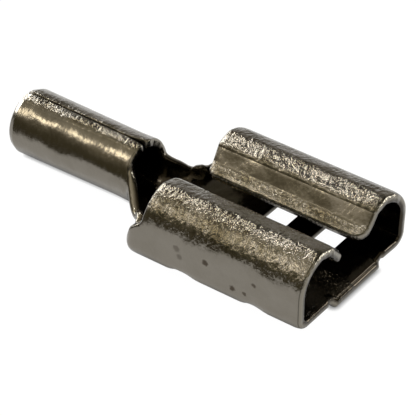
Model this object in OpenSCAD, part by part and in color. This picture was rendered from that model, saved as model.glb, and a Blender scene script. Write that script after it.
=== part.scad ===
// Female spade terminal: one stamped and rolled sheet metal piece for a 6.3 x 0.8 mm tab.
// X runs along the terminal with the open mouth at +X, Z is up, and the origin is the
// middle of the footprint on the surface it lies on. Sizes are in millimetres.

/* [Sheet] */
// Thickness of the sheet
sheet_t = 0.42; // [0.35:0.01:0.45]

/* [Receptacle] */
// Width over the two side walls
rec_w = 7.5; // [7:0.1:8.5]
// Length of the rolled part
rec_l = 7.75; // [7.2:0.05:9]
// Height of the rolled crests above the underside of the floor
rec_h = 3.18; // [3:0.01:3.6]
// Height of the floor's underside above the resting surface
floor_lift = 0.24; // [0.15:0.01:0.35]
// Outer radius of the bend between floor and side wall
bend_r = 0.67; // [0.55:0.01:0.9]
// Outer radius of the wide shoulder above the side wall
shoulder_r = 1.87; // [1.6:0.01:2]
// Angle that the shoulder turns through before the crest
shoulder_turn = 74.5; // [65:0.5:80]
// Outer radius of the crease along the crest
crest_r = 0.5; // [0.43:0.01:0.8]
// Downward slope of the flat behind the crest
brow_slope = 20; // [10:1:30]
// Width of that flat
brow_l = 0.55; // [0.3:0.01:0.7]
// Outer radius between the flat and the steep leg
brow_r = 0.45; // [0.42:0.01:0.8]
// Downward slope of the leg
leg_slope = 50; // [42:1:55]
// Length of the leg
leg_l = 0.63; // [0.3:0.01:0.7]
// Downward slope of the lip at the free edge
edge_slope = 26; // [15:1:35]
// Radius between the leg and its lip
valley_r = 0.5; // [0.3:0.01:0.8]
// Gap between the two free edges
roll_gap = 0.9; // [0.6:0.05:1.4]
// Radius that rounds the free corners of the rolls
corner_r = 0.7; // [0.3:0.05:0.9]

/* [Floor openings] */
// Length of each window along the terminal
window_l = 1.2; // [0.8:0.05:1.4]
// Distance from each side wall's outside to the windows
window_margin = 1.05; // [0.9:0.01:1.6]
// Radius of the window corners
window_r = 0.2; // [0.1:0.05:0.4]
// Width of the bar that is left between the windows
bar_l = 1.2; // [0.8:0.05:1.6]
// Distance from the mouth to the edge of the front window
window_from_mouth = 1.78; // [1.5:0.01:2.2]
// Length of the rear pair of relief slots in the bends
rear_relief_l = 0.92; // [0.8:0.01:1.2]
// Distance from the mouth to the middle of the rear pair
rear_relief_from_mouth = 5.78; // [5:0.01:6.5]
// Length of the front pair of relief slots in the bends
front_relief_l = 0.77; // [0.72:0.01:1.2]
// Distance from the mouth to the middle of the front pair
front_relief_from_mouth = 2.28; // [1.5:0.01:3]
// Width of the relief slots
relief_w = 0.7; // [0.5:0.01:0.72]
// How far round the bend the slots are centred
relief_turn = 15; // [10:1:45]

/* [Entry lip] */
// Width of the lip that dips at the mouth
lip_w = 3.9; // [3:0.1:4.6]
// Length over which the floor dips to the lip
lip_l = 0.75; // [0.5:0.01:1]
// How far the lip stands out past the rolls
lip_reach = 0.08; // [0.02:0.01:0.3]
// Width over which each side of the lip rises to the floor
lip_side = 0.35; // [0.25:0.01:0.5]
// Width of the small notch at each side of the lip
lip_notch_w = 0.3; // [0.2:0.01:0.35]
// Depth of that notch
lip_notch_l = 0.1; // [0.05:0.01:0.2]

/* [Barrel] */
// Radius of the wire bore
bore_r = 0.97; // [0.8:0.01:1.1]
// Length of the closed barrel
barrel_l = 6.12; // [5:0.01:8]
// How much the barrel's outside grows towards its rear end, on the radius
barrel_flare = 0.067; // [0:0.001:0.1]
// Bevel of the rear rim along the barrel
rim_bevel_l = 0.14; // [0.05:0.01:0.4]
// Bevel of the rear rim across the wall
rim_bevel_h = 0.12; // [0.05:0.01:0.25]
// Width of the butt seam along the top
seam_w = 0.06; // [0.02:0.01:0.12]

/* [Neck] */
// Length of the open neck between the barrel and the rolls
neck_l = 2.58; // [2.2:0.01:3.5]
// Share of the spread that the walls take up gently, beside the barrel
neck_gentle = 0.33; // [0.2:0.01:0.4]
// Length over which they take it up
neck_gentle_l = 1; // [0.9:0.01:1.1]
// Distance from the barrel at which the walls step out to the full width
neck_step_from = 1.16; // [1.1:0.01:1.2]
// Length of that step
neck_step_l = 0.97; // [0.96:0.01:1]
// Height of the neck's walls at their lowest, above the resting surface
neck_low = 0.94; // [0.85:0.01:1.4]
// Length over which the walls fall to it from the barrel
neck_fall_l = 0.85; // [0.7:0.01:1.1]
// Distance from the barrel at which they rise again
neck_rise_from = 1.2; // [1.1:0.01:1.4]
// Length over which they rise
neck_rise_l = 1.18; // [0.9:0.01:1.3]
// Height of the neck's walls where they leave the barrel, above the bore's axis
neck_high = 0.66; // [0.3:0.01:0.9]
// Height of the neck's walls where they meet the rolls, above the floor's underside
neck_join = 1.88; // [1.5:0.01:2.2]

/* [Hidden] */
metal = "#8c857b";

// Degrees between the points of a bend, and segments of a full circle
arc_step = 6;
$fn = 96;
// Past-the-face margin of the cutters, and how far the neck runs into its neighbours
cut = 0.5;
seat = 0.25;
// How far the neck's two faces sit inside the walls that it runs into
lap = 0.012;
// Rows along the neck and columns from its middle to one edge
neck_rows = 28;
neck_cols = 15;
// Rows along the lip and columns across it
lip_rows = 10;
lip_cols = 44;
// Small step that finds the direction of the neck's surface
probe = 0.001;

total_l = barrel_l + neck_l + rec_l + lip_reach;
mouth_x = total_l / 2 - lip_reach;
roll_rear_x = mouth_x - rec_l;
barrel_front_x = roll_rear_x - neck_l;
barrel_front_r = bore_r + sheet_t;
barrel_rear_r = barrel_front_r + barrel_flare;
axis_z = barrel_rear_r;
shoulder_z = floor_lift + rec_h - crest_r - (shoulder_r - crest_r) * sin(shoulder_turn);
wall_l = shoulder_z - floor_lift - bend_r;

// A strip of sheet is walked along its outer face: a place is [across, up, heading]
function left(h) = [-sin(h), cos(h)];
function go(p, len) = [p[0] + len * cos(p[2]), p[1] + len * sin(p[2]), p[2]];
function turn(p, r, a) =
    let (side = sign(a), c = [p[0], p[1]] + side * r * left(p[2]), q = c - side * r * left(p[2] + a))
    [q[0], q[1], p[2] + a];
// Steps are [length, 0] for a straight stretch and [radius, angle] for a bend
function walk(p, steps, i = 0) =
    i == len(steps) ? [p] :
    let (size = steps[i][0], a = steps[i][1], n = a == 0 ? 1 : ceil(abs(a) / arc_step))
    concat([p],
           [for (k = [1 : 1 : n - 1]) turn(p, size, a * k / n)],
           walk(a == 0 ? go(p, size) : turn(p, size, a), steps, i + 1));
function outer_face(places) = [for (p = places) [p[0], p[1]]];
function inner_face(places) = [for (p = places) [p[0], p[1]] + sheet_t * left(p[2])];
function reversed(v) = [for (i = [len(v) - 1 : -1 : 0]) v[i]];
function mirrored(v) = [for (p = v) [-p[0], p[1]]];

// Half of the receptacle's section, from the middle of the floor to the valley of the roll
half_steps = [
    [rec_w / 2 - bend_r, 0],
    [bend_r, 90],
    [wall_l, 0],
    [shoulder_r, shoulder_turn],
    [crest_r, 90 - shoulder_turn + brow_slope],
    [brow_l, 0],
    [brow_r, leg_slope - brow_slope],
    [leg_l, 0],
    [valley_r, edge_slope - leg_slope]
];
to_valley = walk([0, floor_lift, 0], half_steps);
valley = to_valley[len(to_valley) - 1];
edge_l = (valley[0] - roll_gap / 2) / cos(edge_slope);
half_section = concat(to_valley, [go(valley, edge_l)]);
half_outer = outer_face(half_section);
half_inner = inner_face(half_section);

module along_x() {
    rotate([90, 0, 90]) children();
}

module rolled_section() {
    polygon(concat(
        reversed(mirrored([for (i = [1 : len(half_outer) - 1]) half_outer[i]])),
        half_outer,
        reversed(half_inner),
        mirrored([for (i = [1 : len(half_inner) - 1]) half_inner[i]])
    ));
}

// Plan outline that rounds the free corners of both rolls
module roll_corner_cutter(sx) {
    reach = roll_gap / 2 + corner_r;
    difference() {
        square([2 * corner_r, 2 * reach], center = true);
        for (side = [-1, 1])
            translate([-sx * corner_r, side * reach]) circle(r = corner_r);
    }
}

module roll_corners() {
    above_floor = shoulder_z;
    for (sx = [-1, 1])
        translate([sx > 0 ? mouth_x : roll_rear_x, 0, above_floor])
            linear_extrude(height = rec_h) roll_corner_cutter(sx);
}

module rounded_plate(l, w, r) {
    square([l - 2 * r, w], center = true);
    square([l, w - 2 * r], center = true);
    for (sx = [-1, 1], sy = [-1, 1])
        translate([sx * (l / 2 - r), sy * (w / 2 - r)]) circle(r = r);
}

module floor_windows() {
    front_window_x = mouth_x - window_from_mouth - window_l / 2;
    for (i = [0, 1])
        translate([front_window_x - i * (window_l + bar_l), 0, floor_lift - cut])
            linear_extrude(height = sheet_t + 2 * cut) rounded_plate(window_l, rec_w - 2 * window_margin, window_r);
}

// Slots through the bends, cut square to the sheet
module bend_reliefs() {
    places = [
        [mouth_x - rear_relief_from_mouth, rear_relief_l],
        [mouth_x - front_relief_from_mouth, front_relief_l]
    ];
    for (p = places, side = [-1, 1])
        translate([p[0], side * (rec_w / 2 - bend_r), floor_lift + bend_r])
            rotate([side * (180 - relief_turn), 0, 0])
                linear_extrude(height = bend_r + cut) relief_slot(p[1]);
}

module relief_slot(l) {
    run = l - relief_w;
    square([run, relief_w], center = true);
    for (sx = [-1, 1]) translate([sx * run / 2, 0]) circle(d = relief_w);
}

// The lip is the front of the floor, drawn down over its middle. dip is the drop at [x, y]
lip_root_x = mouth_x + lip_reach - lip_l;
lip_half = lip_w / 2 + lip_side / 2;
function dip(x, y) =
    floor_lift * ease((x - lip_root_x) / (0.85 * lip_l)) * ease((lip_half - abs(y)) / lip_side);
function lip_under(x, y) = [x, y, floor_lift - dip(x, y)];
function lip_top(x, y) = lip_under(x, y) + sheet_t * unit(cross(
    lip_under(x + probe, y) - lip_under(x - probe, y),
    lip_under(x, y + probe) - lip_under(x, y - probe)));

// Front edge of the floor at y: the lip stands out past the rolls, with a notch at each side
function front_x(y) =
    let (past = abs(y) - lip_w / 2)
    mouth_x + lip_reach * ease(-2 * past / lip_notch_w)
        - lip_notch_l * (1 - ease(abs(2 * past / lip_notch_w - 1)));

module lip() {
    rear_x = lip_root_x - seat;
    ys = [for (j = [0 : lip_cols]) blend(-lip_half - seat, lip_half + seat, j / lip_cols)];
    places = [for (i = [0 : lip_rows], y = ys) [blend(rear_x, front_x(y), i / lip_rows), y]];
    sheet_between([for (p = places) lip_under(p[0], p[1])], [for (p = places) lip_top(p[0], p[1])],
                  lip_rows, lip_cols + 1);
}

// Room in the floor for the lip, which laps into it all round by seat
module lip_space() {
    translate([lip_root_x, -lip_half, floor_lift - cut])
        cube([lip_l + cut, 2 * lip_half, sheet_t + 2 * cut]);
}

module receptacle() {
    difference() {
        translate([roll_rear_x, 0, 0]) along_x() linear_extrude(height = rec_l) rolled_section();
        floor_windows();
        bend_reliefs();
        roll_corners();
        lip_space();
    }
    lip();
}

// Closed barrel with a true round bore, a bevelled rear rim and the butt seam along its top
module barrel() {
    rear_x = barrel_front_x - barrel_l;
    difference() {
        translate([rear_x, 0, axis_z]) along_x() rotate_extrude() polygon([
            [bore_r, 0],
            [barrel_rear_r - rim_bevel_h, 0],
            [barrel_rear_r, rim_bevel_l],
            [barrel_front_r, barrel_l],
            [bore_r, barrel_l]
        ]);
        translate([rear_x - cut, -seam_w / 2, axis_z])
            cube([barrel_l + 2 * cut, seam_w, barrel_rear_r + cut]);
    }
}

// The neck is a shell whose U section changes along its length
function ease(u) = let (v = min(max(u, 0), 1)) v * v * (3 - 2 * v);
function blend(a, b, f) = a + (b - a) * f;
// Spread of the walls: gentle beside the barrel, then a steep step that eases into the full width.
// A lower power of that easing would crease the inner face
function spread(x) =
    let (u = min(max((x - barrel_front_x - neck_step_from) / neck_step_l, 0), 1))
    neck_gentle * ease((x - barrel_front_x) / neck_gentle_l)
        + (1 - neck_gentle) * (1 - pow(1 - u, 2.4));
function along(x) = ease((x - barrel_front_x) / (neck_l - seat));
function half_width(x) = blend(barrel_front_r, rec_w / 2, spread(x)) - lap;
function section_bend(x) = blend(barrel_front_r, bend_r, along(x)) - lap;
function section_low(x) = blend(axis_z - barrel_front_r, floor_lift, along(x)) + lap;
function arch_z(x) = blend(axis_z, shoulder_z, along(x));
function arch_r(x) = blend(barrel_front_r, shoulder_r, along(x)) - lap;
function wall_top(x) =
    let (along_l = x - barrel_front_x)
    along_l < neck_rise_from
        ? blend(axis_z + neck_high, neck_low, ease(along_l / neck_fall_l))
        : blend(neck_low, floor_lift + neck_join, ease((along_l - neck_rise_from) / neck_rise_l));

// Length round the section from the middle of the floor up to height z
function girth(x, z) =
    let (r = section_bend(x), low = section_low(x), flat = half_width(x) - r, c = arch_z(x))
    z < low + r ? flat + r * acos(1 - (z - low) / r) * PI / 180 :
    z < c ? flat + r * PI / 2 + z - low - r :
    flat + r * PI / 2 + c - low - r + arch_r(x) * asin((z - c) / arch_r(x)) * PI / 180;

// Place on the outer face at length s round the section
function round_place(x, s) =
    let (r = section_bend(x), low = section_low(x), w = half_width(x), flat = w - r,
         c = arch_z(x), ra = arch_r(x),
         s1 = s - flat, s2 = s1 - r * PI / 2, s3 = s2 - (c - low - r))
    s1 < 0 ? [s, low] :
    s2 < 0 ? [flat + r * sin(s1 / r * 180 / PI), low + r - r * cos(s1 / r * 180 / PI)] :
    s3 < 0 ? [w, low + r + s2] :
    [w - ra + ra * cos(s3 / ra * 180 / PI), c + ra * sin(s3 / ra * 180 / PI)];

// u runs from -1 at one top edge, through 0 in the middle, to 1 at the other
function neck_outer(x, u) =
    let (p = round_place(x, abs(u) * girth(x, wall_top(x)))) [x, sign(u) * p[0], p[1]];
function unit(v) = v / norm(v);
function neck_inward(x, u) = unit(cross(
    neck_outer(x + probe, u) - neck_outer(x - probe, u),
    neck_outer(x, u + probe) - neck_outer(x, u - probe)));
function neck_inner(x, u) = neck_outer(x, u) + (sheet_t - 2 * lap) * neck_inward(x, u);

// A closed shell between two grids of points, given row by row
module sheet_between(outer, inner, rows, cols) {
    n = len(outer);
    last = rows * cols;
    function quad(a, b, c, d) = [[a, c, b], [a, d, c]];
    outer_quads = [for (i = [0 : rows - 1], j = [0 : cols - 2], f = quad(
        i * cols + j, i * cols + j + 1, (i + 1) * cols + j + 1, (i + 1) * cols + j)) f];
    inner_quads = [for (f = outer_quads) [f[0] + n, f[2] + n, f[1] + n]];
    edge_quads = [for (i = [0 : rows - 1], e = [0, cols - 1],
        f = quad(i * cols + e, (i + 1) * cols + e, (i + 1) * cols + e + n, i * cols + e + n))
        e == 0 ? f : reversed(f)];
    end_quads = [for (j = [0 : cols - 2], e = [0, last],
        f = quad(e + j, e + j + n, e + j + 1 + n, e + j + 1))
        e == 0 ? f : reversed(f)];
    polyhedron(points = concat(outer, inner),
               faces = concat(outer_quads, inner_quads, edge_quads, end_quads));
}

module neck() {
    x0 = barrel_front_x - seat;
    x1 = roll_rear_x + seat;
    xs = [for (i = [0 : neck_rows]) blend(x0, x1, i / neck_rows)];
    us = [for (j = [-neck_cols : neck_cols]) j / neck_cols];
    sheet_between([for (x = xs, u = us) neck_outer(x, u)], [for (x = xs, u = us) neck_inner(x, u)],
                  neck_rows, 2 * neck_cols + 1);
}

module terminal() {
    color(metal) {
        barrel();
        neck();
        receptacle();
    }
}

terminal();
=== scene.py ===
"""Female spade terminal for a 6.3 x 0.8 mm tab, seen from above its open mouth.

The terminal is one sheet. Its flat outline is meshed first, with x along the terminal and s
round its section, and each point is then carried to its place on the formed sheet.
"""
import math

import bpy
import numpy as np
from mathutils import Matrix, Vector


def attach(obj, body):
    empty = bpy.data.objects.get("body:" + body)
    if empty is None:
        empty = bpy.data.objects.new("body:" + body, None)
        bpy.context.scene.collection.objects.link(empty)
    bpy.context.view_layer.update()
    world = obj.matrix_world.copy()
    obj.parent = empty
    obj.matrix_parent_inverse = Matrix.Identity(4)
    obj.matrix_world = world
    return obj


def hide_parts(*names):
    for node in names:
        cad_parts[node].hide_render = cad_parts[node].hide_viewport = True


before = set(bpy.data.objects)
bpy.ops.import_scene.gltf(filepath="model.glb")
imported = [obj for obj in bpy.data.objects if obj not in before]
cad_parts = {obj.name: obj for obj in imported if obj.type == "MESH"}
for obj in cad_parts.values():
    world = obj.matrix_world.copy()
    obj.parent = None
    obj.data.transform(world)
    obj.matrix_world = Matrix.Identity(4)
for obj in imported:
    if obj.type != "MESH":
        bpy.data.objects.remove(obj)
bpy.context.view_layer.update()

MM = 0.001

# Sizes of the formed sheet in mm and slopes. They are the part's, except where a comment says so
SHEET_T = 0.42
REC_W, REC_L, REC_H = 7.5, 7.75, 3.18
FLOOR_LIFT = 0.24
BEND_R, SHOULDER_R, CREST_R, BROW_R, VALLEY_R = 0.67, 1.87, 0.5, 0.45, 0.5
# The shoulder is a little fuller than one arc: a tighter bend, then a straight run to the crest
TIGHT_R = 1.6
# The brow is 5 degrees flatter than in the part
SHOULDER_TURN, BROW_SLOPE = math.radians(74.5), math.radians(15)
LEG_SLOPE, EDGE_SLOPE = math.radians(50), math.radians(26)
BROW_L, LEG_L, ROLL_GAP, ROLL_CORNER_R = 0.55, 0.63, 0.9, 0.7
WINDOW_L, WINDOW_W, WINDOW_R, BAR_L, WINDOW_FROM_MOUTH = 1.15, 5.4, 0.2, 1.25, 1.78
# Relief slots in the bends: distance of their middle from the mouth, and length
RELIEFS, RELIEF_W, RELIEF_TURN = ((5.78, 0.92), (2.28, 0.77)), 0.7, math.radians(28)
LIP_W, LIP_L, LIP_REACH, LIP_SIDE = 3.9, 0.75, 0.08, 0.35
# Share of the lip's length over which it dips down to the ground
LIP_DIP = 0.85
LIP_NOTCH_W, LIP_NOTCH_L = 0.3, 0.1
# How much shorter the lip is on the near half than on the far one
LIP_SHORT = 0.6
BORE_R, BARREL_L, BARREL_FLARE, SEAM_W = 0.97, 6.12, 0.067, 0.06
NECK_L, NECK_GENTLE, NECK_GENTLE_L, NECK_STEP_FROM, NECK_STEP_L = 2.58, 0.33, 1.0, 1.16, 0.97
NECK_SEAT = 0.25
# How quickly the neck widens at the start of its step
NECK_POWER = 2.4
# Height of the wall where the near edge of the neck runs into the roll
ROLL_FOOT_Z = 2.25
# How much further back the barrel ends than in the part
REAR_MORE = 0.18
# Length left for the last run, of which the blank's outline uses what it needs
SPARE_RUN = 3

TOTAL_L = BARREL_L + NECK_L + REC_L + LIP_REACH
MOUTH_X = TOTAL_L / 2 - LIP_REACH
ROLL_X = MOUTH_X - REC_L
BARREL_X = ROLL_X - NECK_L
REAR_X = BARREL_X - BARREL_L - REAR_MORE
BARREL_R = BORE_R + SHEET_T
AXIS_Z = BARREL_R + BARREL_FLARE
SHOULDER_Z = FLOOR_LIFT + REC_H - CREST_R - (SHOULDER_R - CREST_R) * math.sin(SHOULDER_TURN)

# The barrel's mouth edge on the far (1) and near (-1) half: degrees down from the seam, and mm
# ahead of the barrel. It was sheared a little lower on the far side than on the near one.
MOUTH_EDGE = {1: ((25, 0.0), (45, 0.0), (62, 0.0), (80, 0.07)),
              -1: ((25, 0.0), (38, 0.0), (52, 0.05), (60, 0.1), (70, 0.2), (77, 0.4))}
# Height of the neck's edges in mm, by mm ahead of the barrel
NECK_EDGE = ((0.73, 0.96), (0.99, 0.93), (1.23, 0.94), (1.5, 1.12), (1.93, 1.72), (2.43, 2.1))
NECK_EDGE_START = {1: ((0.28, 1.42), (0.48, 1.24)), -1: ()}
# How far the far wall and bend reach ahead of the rest at the mouth
FAR_MOUTH_MORE = 0.1

# Dark specks and scuffs on the near wall: x, z, radius in mm and strength
WALL_SPECKS = ((3.68, 1.75, 0.17, 0.9), (5.0, 1.11, 0.16, 0.9), (6.04, 1.74, 0.13, 0.8),
               (5.6, 1.12, 0.12, 0.8), (2.26, 1.8, 0.2, 0.5), (2.42, 1.45, 0.17, 0.5),
               (1.27, 2.47, 0.2, 0.8), (5.83, 2.6, 0.15, 0.5))

# Mesh step on the flat outline, and the rounding of every cut edge, in so many rings
STEP = 0.12
EDGE_R, EDGE_RINGS = 0.11, 5
# The seam's edges are rounded this many times more tightly than the others
SEAM_SHARP = 3
# The bevel round the rear rim: length along the barrel and depth
BEVEL_L, BEVEL_H = 0.32, 0.14
# The outer face is drawn down towards every sheared edge: width and depth
DRAWN_L, DRAWN_H = 0.36, 0.07
# The barrel opens a little towards its mouth: length and growth of its radius
FLARE_L, FLARE_H = 1.0, 0.035

# Sizes in mm of what the plating's textures show
GRAIN, DENTS, WAVES, CLOUDS, RAGGED = 0.24, 0.3, 1.4, 1.3, 0.12
BUMP_DEPTH = 0.05
# Where the card's colour seen in the metal falls off into painted shade, to the left and towards the
# camera, in mm
SHADE_X, SHADE_Y = (-6.5, -9.5), (-4.5, -7.5)


def ease(u):
    v = np.clip(u, 0, 1)
    return v * v * (3 - 2 * v)


def blend(a, b, f):
    return a + (b - a) * f


def section_steps(x):
    """The section at x as runs (length, 0) and bends (radius, angle), from the floor's middle."""
    step = np.clip((x - BARREL_X - NECK_STEP_FROM) / NECK_STEP_L, 0, 1)
    spread = NECK_GENTLE * ease((x - BARREL_X) / NECK_GENTLE_L)
    spread = spread + (1 - NECK_GENTLE) * (1 - (1 - step) ** NECK_POWER)
    along = ease((x - BARREL_X) / (NECK_L - NECK_SEAT))
    flare = BARREL_FLARE * np.clip((BARREL_X - x) / BARREL_L, 0, 1)
    round_r = BARREL_R + flare + FLARE_H * ease((x - BARREL_X) / FLARE_L + 1)
    half_w = blend(round_r, REC_W / 2, spread)
    bend = blend(round_r, BEND_R, along)
    shoulder = blend(round_r, TIGHT_R, along)
    run = along * (SHOULDER_R - TIGHT_R) * (1 - math.cos(SHOULDER_TURN)) / math.sin(SHOULDER_TURN)
    raised = along * (SHOULDER_R - TIGHT_R) * math.sin(SHOULDER_TURN) - run * math.cos(SHOULDER_TURN)
    crest = blend(round_r, CREST_R, along)
    wall = blend(AXIS_Z, SHOULDER_Z, along) + raised - section_low(x) - bend
    crest_turn = math.pi / 2 - SHOULDER_TURN
    return ((half_w - bend, 0), (bend, math.pi / 2), (wall, 0), (shoulder, SHOULDER_TURN), (run, 0),
            (crest, crest_turn + BROW_SLOPE), (BROW_L + 0 * x, 0),
            (BROW_R + 0 * x, LEG_SLOPE - BROW_SLOPE), (LEG_L + 0 * x, 0),
            (VALLEY_R + 0 * x, EDGE_SLOPE - LEG_SLOPE), (SPARE_RUN + 0 * x, 0))


def section_low(x):
    """Height of the sheet's outer face under its middle."""
    along = ease((x - BARREL_X) / (NECK_L - NECK_SEAT))
    flare = BARREL_FLARE * np.clip((BARREL_X - x) / BARREL_L, 0, 1)
    flare = flare + FLARE_H * ease((x - BARREL_X) / FLARE_L + 1)
    return blend(AXIS_Z - BARREL_R - flare, FLOOR_LIFT, along)


def section_place(x, s):
    """Across and up on the sheet's outer face, at x along the terminal and s round its section."""
    y, z = np.zeros_like(x), section_low(x)
    heading, done = np.zeros_like(x), np.zeros_like(x)
    for size, angle in section_steps(x):
        length = size * abs(angle) if angle else size
        d = np.clip(s - done, 0, length)
        if angle:
            side = math.copysign(1, angle)
            turned = heading + side * d / size
            y = y + side * size * (np.sin(turned) - np.sin(heading))
            z = z - side * size * (np.cos(turned) - np.cos(heading))
            heading = turned
        else:
            y, z = y + d * np.cos(heading), z + d * np.sin(heading)
        done = done + length
    return y, z


def outer_face(x, s):
    """Points on the outer face. A negative s lies on the -Y half."""
    y, z = section_place(x, np.abs(s))
    dip = FLOOR_LIFT * ease((x - MOUTH_X - LIP_REACH + LIP_L) / (LIP_L * LIP_DIP))
    half = LIP_W / 2 + LIP_SIDE / 2 - LIP_SHORT * (s < 0)
    dip = dip * ease((half - np.abs(s)) / LIP_SIDE)
    return np.stack([x, np.copysign(y, s), z - dip], -1)


def inward(x, s, h=0.002):
    """Unit vectors into the sheet from its outer face."""
    along = outer_face(x + h, s) - outer_face(x - h, s)
    across = outer_face(x, s + h) - outer_face(x, s - h)
    n = np.cross(along, across)
    return n / np.linalg.norm(n, axis=-1, keepdims=True)


def s_at_height(x, z):
    """How far round the section the outer face reaches height z at x."""
    s = np.linspace(0, 7, 1401)
    _, up = section_place(np.full_like(s, x), s)
    return float(s[np.argmax(up >= z)])


def rounded(corners, steps=6):
    """A closed outline from (x, s, corner radius) with each corner turned into an arc."""
    out = []
    for i, (x, s, r) in enumerate(corners):
        p = np.array([x, s])
        a = np.array(corners[i - 1][:2]) - p
        b = np.array(corners[(i + 1) % len(corners)][:2]) - p
        la, lb = np.linalg.norm(a), np.linalg.norm(b)
        a, b = a / la, b / lb
        turn = math.acos(max(-1, min(1, float(a @ b))))
        if r == 0 or turn > math.radians(176):
            out.append(p)
            continue
        back = min(r / math.tan(turn / 2), la * 0.48, lb * 0.48)
        for k in range(steps + 1):
            t = k / steps
            out.append(p + a * back * (1 - t) ** 2 + b * back * t ** 2)
    return np.array(out)


def half_outline(side):
    """The flat outline of the far (1) or near (-1) half of the blank, as x and s. It closes
    a little past the middle of the floor, so that no edge is rounded there."""
    top = math.pi * BARREL_R - SEAM_W / 2
    seam_end = BARREL_X - 0.03
    corners = [(REAR_X, -1, 0), (REAR_X, top + math.pi * BARREL_FLARE, 0.02), (seam_end, top, 0.02)]
    corners += [(BARREL_X + dx, BARREL_R * math.radians(180 - a), 0.2)
                for a, dx in MOUTH_EDGE[side]]
    corners += [(BARREL_X + dx, s_at_height(BARREL_X + dx, z), 0.3)
                for dx, z in NECK_EDGE_START[side] + NECK_EDGE]
    wall_top = s_at_height(ROLL_X, ROLL_FOOT_Z)
    corners += [(ROLL_X - 0.04, wall_top, 0.3), (ROLL_X, wall_top + 0.5, 0.3)]
    end = edge_s()
    corners += [(ROLL_X, end - 1.6, 0.3), (ROLL_X + 0.15, end, 0.45), (MOUTH_X, end, ROLL_CORNER_R)]
    lip = LIP_W / 2 - LIP_SHORT * (side < 0)
    notch = lip + LIP_NOTCH_W
    corners += [(MOUTH_X, end - 2, 0.3)]
    corners += [(MOUTH_X + FAR_MOUTH_MORE * (side > 0), end - 4, 0.3)]
    corners += [(MOUTH_X, notch, 0.1), (MOUTH_X - LIP_NOTCH_L, notch - LIP_NOTCH_W / 2, 0.1)]
    corners += [(MOUTH_X + LIP_REACH, lip, 0.1), (MOUTH_X + LIP_REACH, -1, 0)]
    return rounded(corners)


def edge_s():
    """Length round the section to the free edge of a roll."""
    s = np.linspace(6, 12, 2001)
    x = np.full_like(s, (ROLL_X + MOUTH_X) / 2)
    y, _ = section_place(x, s)
    return float(s[np.argmax(y <= ROLL_GAP / 2)])


def hole_outlines():
    """The flat outlines of one half's windows and relief slots."""
    holes = []
    for i in (0, 1):
        x1 = MOUTH_X - WINDOW_FROM_MOUTH - i * (WINDOW_L + BAR_L)
        holes.append(rounded([(x1 - WINDOW_L, -1, 0), (x1 - WINDOW_L, WINDOW_W / 2, WINDOW_R),
                              (x1, WINDOW_W / 2, WINDOW_R), (x1, -1, 0)]))
    middle = REC_W / 2 - BEND_R + BEND_R * RELIEF_TURN
    for from_mouth, length in RELIEFS:
        a = np.linspace(0, 2 * math.pi, 33)[:-1]
        run = (length - RELIEF_W) / 2 * np.sign(np.cos(a))
        holes.append(np.stack([MOUTH_X - from_mouth + run + RELIEF_W / 2 * np.cos(a),
                               middle + RELIEF_W / 2 * np.sin(a)], -1))
    return holes


def signed_distance(points, loop):
    """Distance from each point to a closed loop, positive inside it."""
    a, b = loop, np.roll(loop, -1, axis=0)
    best = np.full(len(points), 1e9)
    painted_inner_shade_light = np.zeros(len(points), bool)
    for p, q in zip(a, b):
        d = q - p
        span = float(d @ d)
        if span < 1e-12:
            continue
        t = np.clip(((points - p) @ d) / span, 0, 1)
        best = np.minimum(best, np.linalg.norm(points - p - t[:, None] * d, axis=1))
        crosses = (p[1] > points[:, 1]) != (q[1] > points[:, 1])
        at = p[0] + (points[:, 1] - p[1]) * d[0] / (d[1] if d[1] else 1e-12)
        painted_inner_shade_light ^= crosses & (points[:, 0] < at)
    return np.where(painted_inner_shade_light, best, -best)


def split(poly, level):
    """Cuts a polygon of (x, s, depth) corners at a depth, into its shallower and deeper part."""
    low, high = [], []
    for p, q in zip(poly, poly[1:] + poly[:1]):
        (low if p[2] <= level else high).append(p)
        if (p[2] <= level) != (q[2] <= level):
            a, b = (p, q) if p < q else (q, p)
            t = (level - a[2]) / (b[2] - a[2])
            m = (a[0] + (b[0] - a[0]) * t, a[1] + (b[1] - a[1]) * t, level)
            low.append(m)
            high.append(m)
    return low, high


def flat_half(side):
    """Polygons of (x, s, depth from the cut edge) that fill one half of the blank."""
    xs = np.concatenate([np.arange(REAR_X - STEP / 3, REAR_X + 1.1 * BEVEL_L, STEP / 3),
                         np.arange(REAR_X + 1.2 * BEVEL_L, MOUTH_X + LIP_REACH + 2 * STEP, STEP)])
    ss = np.arange(0, edge_s() + 2 * STEP, STEP)
    gx, gs = np.meshgrid(xs, ss, indexing="ij")
    points = np.stack([gx.ravel(), gs.ravel()], -1)
    depth = signed_distance(points, half_outline(side))
    by_seam = (points[:, 1] > math.pi * BARREL_R - 0.5) & (points[:, 0] < BARREL_X + 0.1)
    depth = np.where(by_seam, depth * SEAM_SHARP, depth)
    for hole in hole_outlines():
        depth = np.minimum(depth, -signed_distance(points, hole))
    depth = depth.reshape(gx.shape)
    angles = [math.pi / 2 * (1 - k / (EDGE_RINGS - 1)) for k in range(EDGE_RINGS)]
    levels = [EDGE_R * (1 - math.sin(a)) for a in angles]
    polys = []
    for i in range(len(xs) - 1):
        for j in range(len(ss) - 1):
            corners = [(i, j), (i + 1, j), (i + 1, j + 1), (i, j + 1)]
            rest = [(float(xs[a]), float(ss[b]), float(depth[a, b])) for a, b in corners]
            if max(p[2] for p in rest) <= 0:
                continue
            if min(p[2] for p in rest) < EDGE_R:
                _, rest = split(rest, 0.0)
                for level in levels[1:]:
                    band, rest = split(rest, level) if rest else ([], [])
                    if len(band) > 2:
                        polys.append(band)
            if len(rest) > 2:
                polys.append(rest)
    return polys


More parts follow.
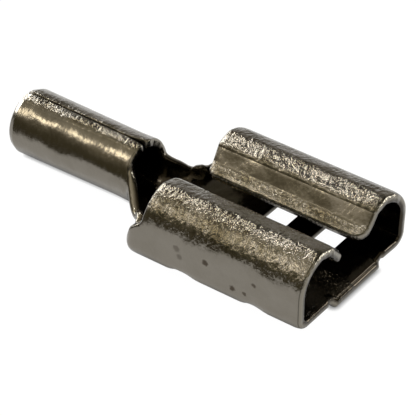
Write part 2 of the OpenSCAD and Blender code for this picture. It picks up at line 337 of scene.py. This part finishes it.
def formed_sheet(name):
    """The whole sheet as one closed mesh, with layers that mark the cut edges, the inner face
    and where the plating is grainy: on top of the rolls and barrel, and all over the near roll."""
    index, flat, faces = {}, [], []
    for side in (1, -1):
        for poly in flat_half(side):
            ids = []
            for x, s, depth in poly:
                key = (round(x, 5), round(side * s, 5))
                if key not in index:
                    index[key] = len(flat)
                    flat.append((x, side * s, depth))
                if index[key] not in ids:
                    ids.append(index[key])
            if len(ids) > 2:
                faces.append(ids if side > 0 else ids[::-1])
    flat = np.array(flat)
    x, s, depth = flat.T
    s = np.where(s == 0, 1e-9, s)
    d = np.clip(depth, 0, EDGE_R)
    sunk = EDGE_R - np.sqrt(np.maximum(0, EDGE_R ** 2 - (EDGE_R - d) ** 2))
    outer, normal = outer_face(x, s), inward(x, s)
    bevel = BEVEL_H * np.clip(1 - (x - REAR_X) / BEVEL_L, 0, 1)
    drawn = DRAWN_H * np.clip(1 - depth / DRAWN_L, 0, 1) ** 2 * (x > BARREL_X)
    points = np.concatenate([outer + normal * (sunk + bevel + drawn)[:, None],
                             outer + normal * (SHEET_T - sunk)[:, None]])
    n = len(flat)
    count = {}
    for f in faces:
        for a, b in zip(f, f[1:] + f[:1]):
            count[(a, b)] = count.get((a, b), 0) + 1
    rim = [(a, b) for a, b in count if (b, a) not in count]
    solid = [f[::-1] for f in faces] + [[v + n for v in f] for f in faces]
    solid += [[a, b, b + n, a + n] for a, b in rim]
    mesh = bpy.data.meshes.new(name)
    mesh.from_pydata((points * MM).tolist(), [], solid)
    mesh.validate()
    wall = ease((np.abs(normal[:, 1]) - 0.8) / 0.16)
    near_roll = ease((x - ROLL_X) / 0.5) * (s < 0) * (1 - wall)
    top = np.where(x > BARREL_X, 0.7, 0.9)
    grainy = np.maximum(ease((-normal[:, 2] - top) / 0.08), near_roll)
    for key, values in (("cut_edge", 1 - d / EDGE_R), ("inner_face", 0 * d), ("grainy", grainy)):
        layer = mesh.attributes.new(key, "FLOAT", "POINT")
        both = np.concatenate([values, values + (key == "inner_face")])
        layer.data.foreach_set("value", both.astype(np.float32))
    mesh.polygons.foreach_set("use_smooth", [True] * len(mesh.polygons))
    piece = bpy.data.objects.new(name, mesh)
    bpy.context.scene.collection.objects.link(piece)
    return piece


def linear(code):
    """An sRGB hex colour as linear RGBA."""
    parts = [int(code[i:i + 2], 16) / 255 for i in (1, 3, 5)]
    return [c / 12.92 if c <= 0.04045 else ((c + 0.055) / 1.055) ** 2.4 for c in parts] + [1.0]


def node(tree, kind, settings=None, **links):
    """Adds a node: settings are its properties, links are its inputs as values or sockets.
    An input is named, or numbered as i0, i1 and so on."""
    made = tree.nodes.new(kind)
    for key, value in (settings or {}).items():
        setattr(made, key, value)
    for key, value in links.items():
        numbered = key[0] == "i" and key[1:].isdigit()
        socket = made.inputs[int(key[1:]) if numbered else key.replace("_", " ")]
        if isinstance(value, bpy.types.NodeSocket):
            tree.links.new(value, socket)
        else:
            socket.default_value = value
    return made


def plated_sheet():
    """Dull nickel plating over rolled steel, tumbled in bulk: a fine pitted grain that breaks up
    reflections, low waves that bend them, tarnish in cloudy patches, a darker band along each cut
    edge where its rounding begins, painted shade on the inner face and dark specks on the near wall."""
    mat = bpy.data.materials.new("nickel_plated_steel_tumbled")
    mat.use_nodes = True
    t = mat.node_tree
    t.nodes.clear()
    place = node(t, "ShaderNodeTexCoord").outputs["Object"]
    stretched = node(t, "ShaderNodeMapping", Vector=place, Scale=(1.7, 1, 1)).outputs["Vector"]
    grain = node(t, "ShaderNodeTexNoise", Vector=stretched, Scale=1 / (GRAIN * MM), Detail=3.0,
                 Roughness=0.62).outputs["Fac"]
    cloud = node(t, "ShaderNodeTexNoise", Vector=place, Scale=1 / (CLOUDS * MM), Detail=5.0,
                 Roughness=0.65).outputs["Fac"]
    cut, inner, grainy = [node(t, "ShaderNodeAttribute", {"attribute_name": name}).outputs["Fac"]
                          for name in ("cut_edge", "inner_face", "grainy")]
    dents = node(t, "ShaderNodeTexVoronoi", {"feature": "SMOOTH_F1"}, Vector=stretched,
                 Scale=1 / (DENTS * MM), Smoothness=0.3).outputs["Distance"]
    waves = node(t, "ShaderNodeTexNoise", Vector=place, Scale=1 / (WAVES * MM),
                 Detail=1.0).outputs["Fac"]

    def tint(fac, a, b):
        ends = {"i6": a if isinstance(a, bpy.types.NodeSocket) else linear(a), "i7": linear(b)}
        return node(t, "ShaderNodeMix", {"data_type": "RGBA"}, Factor=fac, **ends).outputs[2]

    def scaled(value, low, high, to_low=0.0, to_high=1.0):
        return node(t, "ShaderNodeMapRange", Value=value, From_Min=low, From_Max=high,
                    To_Min=to_low, To_Max=to_high).outputs["Result"]

    def times(a, b):
        return node(t, "ShaderNodeMath", {"operation": "MULTIPLY"}, i0=a, i1=b).outputs[0]

    patches = times(scaled(cloud, 0.42, 0.62), scaled(grainy, 0, 1, 0.15, 1))
    tone = tint(patches, "#7a756c", "#575144")
    warped = node(t, "ShaderNodeVectorMath", {"operation": "MULTIPLY_ADD"},
                  i0=node(t, "ShaderNodeTexNoise", Vector=place,
                          Scale=1 / (RAGGED * MM)).outputs["Color"],
                  i1=(0.16 * MM,) * 3, i2=place).outputs[0]
    for x, z, r, depth in WALL_SPECKS:
        away = node(t, "ShaderNodeVectorMath", {"operation": "DISTANCE"}, i0=warped,
                    i1=((x + 0.08) * MM, (0.08 - REC_W / 2) * MM, (z + 0.08) * MM)).outputs["Value"]
        tone = tint(scaled(away, 0.55 * r * MM, r * MM, depth, 0), tone, "#3d352a")
    tone = tint(cut, tone, "#7d786d")
    # A darker band along each cut edge, where its rounding begins
    edge_dark_band = times(scaled(cut, 0.02, 0.2), scaled(cut, 0.25, 0.55, 1, 0))
    tone = tint(times(edge_dark_band, 0.7), tone, "#2e2a22")
    # Painted shade: the inner face gets a much darker tone than the outer one, painted a little lighter
    # where light falls on it, from about 0 to 2 mm along x
    along = node(t, "ShaderNodeSeparateXYZ", Vector=place).outputs["X"]
    lit = times(scaled(along, -1.0 * MM, 0.2 * MM), scaled(along, 1.6 * MM, 2.6 * MM, 1, 0))
    painted_inner_shade_light = node(t, "ShaderNodeMix", {"data_type": "RGBA"}, Factor=lit, i6=linear("#37322a"),
                  i7=linear("#3f392c")).outputs[2]
    tone = node(t, "ShaderNodeMix", {"data_type": "RGBA"}, Factor=inner, i6=tone, i7=painted_inner_shade_light).outputs[2]
    fine = times(node(t, "ShaderNodeMath", {"operation": "MULTIPLY_ADD"}, i0=dents, i1=0.5,
                      i2=grain).outputs[0], scaled(grainy, 0, 1, 0.2, 1))
    height = node(t, "ShaderNodeMath", {"operation": "MULTIPLY_ADD"}, i0=waves, i1=2.4, i2=fine)
    bump = node(t, "ShaderNodeBump", Height=height.outputs[0], Strength=1.0, Distance=BUMP_DEPTH * MM)
    metal = node(t, "ShaderNodeBsdfPrincipled", Base_Color=tone, Metallic=1.0,
                 Roughness=scaled(grain, 0.3, 0.7, 0.1, 0.26), Normal=bump.outputs["Normal"])
    node(t, "ShaderNodeOutputMaterial", Surface=metal.outputs["BSDF"])
    return mat


def white_floor():
    """Matt white card. Seen directly or in the metal it is white, with a faint real shadow and a
    painted one.
    In the metal its part to the left of and beside the barrel is darkened with painted shade."""
    mat = bpy.data.materials.new("white_card")
    mat.use_nodes = True
    t = mat.node_tree
    t.nodes.clear()
    path = node(t, "ShaderNodeLightPath")
    seen = node(t, "ShaderNodeMath", {"operation": "ADD", "use_clamp": True},
                i0=path.outputs["Is Camera Ray"], i1=path.outputs["Is Glossy Ray"])
    seen = node(t, "ShaderNodeMath", {"operation": "ADD", "use_clamp": True},
                i0=seen.outputs[0], i1=path.outputs["Is Transmission Ray"])
    share = node(t, "ShaderNodeMath", {"operation": "MULTIPLY"}, i0=seen.outputs[0], i1=0.95)
    card = node(t, "ShaderNodeBsdfDiffuse", Color=linear("#e6e6e6"))
    # Painted shadow: ambient occlusion darkens the card's glow within 0.2 mm of the terminal as the
    # camera sees it, and within 0.7 mm as the metal shows it
    reach = node(t, "ShaderNodeMapRange", Value=path.outputs["Is Camera Ray"], To_Min=0.7 * MM,
                 To_Max=0.2 * MM)
    painted_contact_shadow = node(t, "ShaderNodeAmbientOcclusion", {"samples": 8},
                 Distance=reach.outputs["Result"])
    # Painted shade in the metal: for glossy rays the card to the left of and beside the barrel turns
    # dark olive (#5a5340)
    spot = node(t, "ShaderNodeSeparateXYZ", Vector=node(t, "ShaderNodeTexCoord").outputs["Object"])
    left = node(t, "ShaderNodeMapRange", Value=spot.outputs["X"], From_Min=SHADE_X[0] * MM,
                From_Max=SHADE_X[1] * MM)
    away = node(t, "ShaderNodeMapRange", Value=spot.outputs["Y"], From_Min=SHADE_Y[0] * MM,
                From_Max=SHADE_Y[1] * MM)
    shade = node(t, "ShaderNodeMath", {"operation": "MULTIPLY"}, i0=left.outputs["Result"],
                 i1=away.outputs["Result"])
    shade = node(t, "ShaderNodeMath", {"operation": "MULTIPLY"}, i0=shade.outputs[0],
                 i1=path.outputs["Is Glossy Ray"])
    seen_card = node(t, "ShaderNodeMix", {"data_type": "RGBA"}, Factor=shade.outputs[0],
                     i6=painted_contact_shadow.outputs["Color"], i7=linear("#5a5340")).outputs[2]
    glow = node(t, "ShaderNodeEmission", Color=seen_card, Strength=1.04)
    both = node(t, "ShaderNodeMixShader", Fac=share.outputs[0], i1=card.outputs[0], i2=glow.outputs[0])
    node(t, "ShaderNodeOutputMaterial", Surface=both.outputs[0])
    return mat


def floor():
    """A square card, 3 m wide, that the terminal lies on."""
    mesh = bpy.data.meshes.new("floor")
    r = 1.5
    mesh.from_pydata([(-r, -r, 0), (r, -r, 0), (r, r, 0), (-r, r, 0)], [], [(0, 1, 2, 3)])
    mesh.materials.append(white_floor())
    piece = bpy.data.objects.new("floor", mesh)
    bpy.context.scene.collection.objects.link(piece)


def room():
    """A dim room. The ramp runs round the terminal's length: from the horizon on the camera's
    side, over the top, to the horizon behind."""
    world = bpy.data.worlds.new("room")
    bpy.context.scene.world = world
    world.use_nodes = True
    t = world.node_tree
    t.nodes.clear()
    way = node(t, "ShaderNodeSeparateXYZ", Vector=node(t, "ShaderNodeTexCoord").outputs["Generated"])
    near = node(t, "ShaderNodeMath", {"operation": "MULTIPLY"}, i0=way.outputs["Y"], i1=-1.0)
    angle = node(t, "ShaderNodeMath", {"operation": "ARCTAN2"}, i0=way.outputs["Z"], i1=near.outputs[0])
    turn = node(t, "ShaderNodeMath", {"operation": "DIVIDE"}, i0=angle.outputs[0], i1=math.pi)
    ramp = node(t, "ShaderNodeValToRGB", Fac=turn.outputs[0])
    stops = ramp.color_ramp.elements
    tones = ((0.0, "#6b644d"), (0.05, "#6b644d"), (0.1, "#6f6852"), (0.2, "#9d957f"),
             (0.27, "#fff6e2"), (0.4, "#e6ddc6"), (0.58, "#8c866f"), (0.64, "#24221b"),
             (0.69, "#35322a"), (0.75, "#a09d95"), (1.0, "#d0cdc6"))
    for _ in range(len(tones) - 2):
        stops.new(0.5)
    for stop, (place, tone) in zip(stops, tones):
        stop.position, stop.color = place, linear(tone)
    sky = node(t, "ShaderNodeBackground", Color=ramp.outputs["Color"], Strength=1.0)
    node(t, "ShaderNodeOutputWorld", Surface=sky.outputs[0])


def lamp(name, place, width, height, power, colour):
    """A soft lamp of a width and height at a place in mm, facing the terminal."""
    data = bpy.data.lights.new(name, "AREA")
    data.shape, data.size, data.size_y = "RECTANGLE", width * MM, height * MM
    data.energy, data.color = power, linear(colour)[:3]
    piece = bpy.data.objects.new(name, data)
    piece.location = Vector(place) * MM
    piece.rotation_euler = (-piece.location).to_track_quat("-Z", "Y").to_euler()
    bpy.context.scene.collection.objects.link(piece)


def camera():
    """The photograph's view, as fitted to it: 36 degrees round from the side, 37 degrees up."""
    az, el, roll = math.radians(36.208), math.radians(37.146), math.radians(0.391)
    right = Vector((math.cos(az), math.sin(az), 0))
    ahead = Vector((-math.sin(az) * math.cos(el), math.cos(az) * math.cos(el), -math.sin(el)))
    up = right.cross(ahead)
    r = math.cos(roll) * right + math.sin(roll) * up
    u = -math.sin(roll) * right + math.cos(roll) * up
    data = bpy.data.cameras.new("camera")
    data.sensor_width, data.lens = 36, 2446.66 / 416 * 36
    data.clip_start, data.clip_end = 0.001, 10
    piece = bpy.data.objects.new("camera", data)
    place = -5.727 * r + 3.18 * u - 97.066 * ahead + Vector((MOUTH_X, 0, FLOOR_LIFT))
    turn = Matrix((r, u, -ahead)).transposed().to_4x4()
    piece.matrix_world = Matrix.Translation(place * MM) @ turn
    bpy.context.scene.collection.objects.link(piece)
    bpy.context.scene.camera = piece


bpy.context.scene.view_settings.view_transform = "Standard"
camera()
room()
floor()
lamp("rear_low_lamp", (-220, 55, 50), 200, 60, 0.4, "#ffffff")
lamp("rear_left_lamp", (-115, 62, 205), 14, 14, 0.06, "#fffaf0")
lamp("side_lamp", (-150, -105, 165), 70, 50, 0.07, "#fff4dc")
lamp("front_right_lamp", (170, 150, 55), 60, 60, 0.2, "#ffffff")
lamp("overhead_lamp", (-30, 55, 240), 25, 25, 0.05, "#ffffff")
lamp("near_lamp", (-20, -125, 215), 25, 25, 0.05, "#ffffff")
lamp("rear_lamp", (-175, 72, 140), 30, 30, 0.09, "#ffffff")

terminal = formed_sheet("terminal_sheet")
terminal.data.materials.append(plated_sheet())
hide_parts("terminal")
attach(terminal, "root")
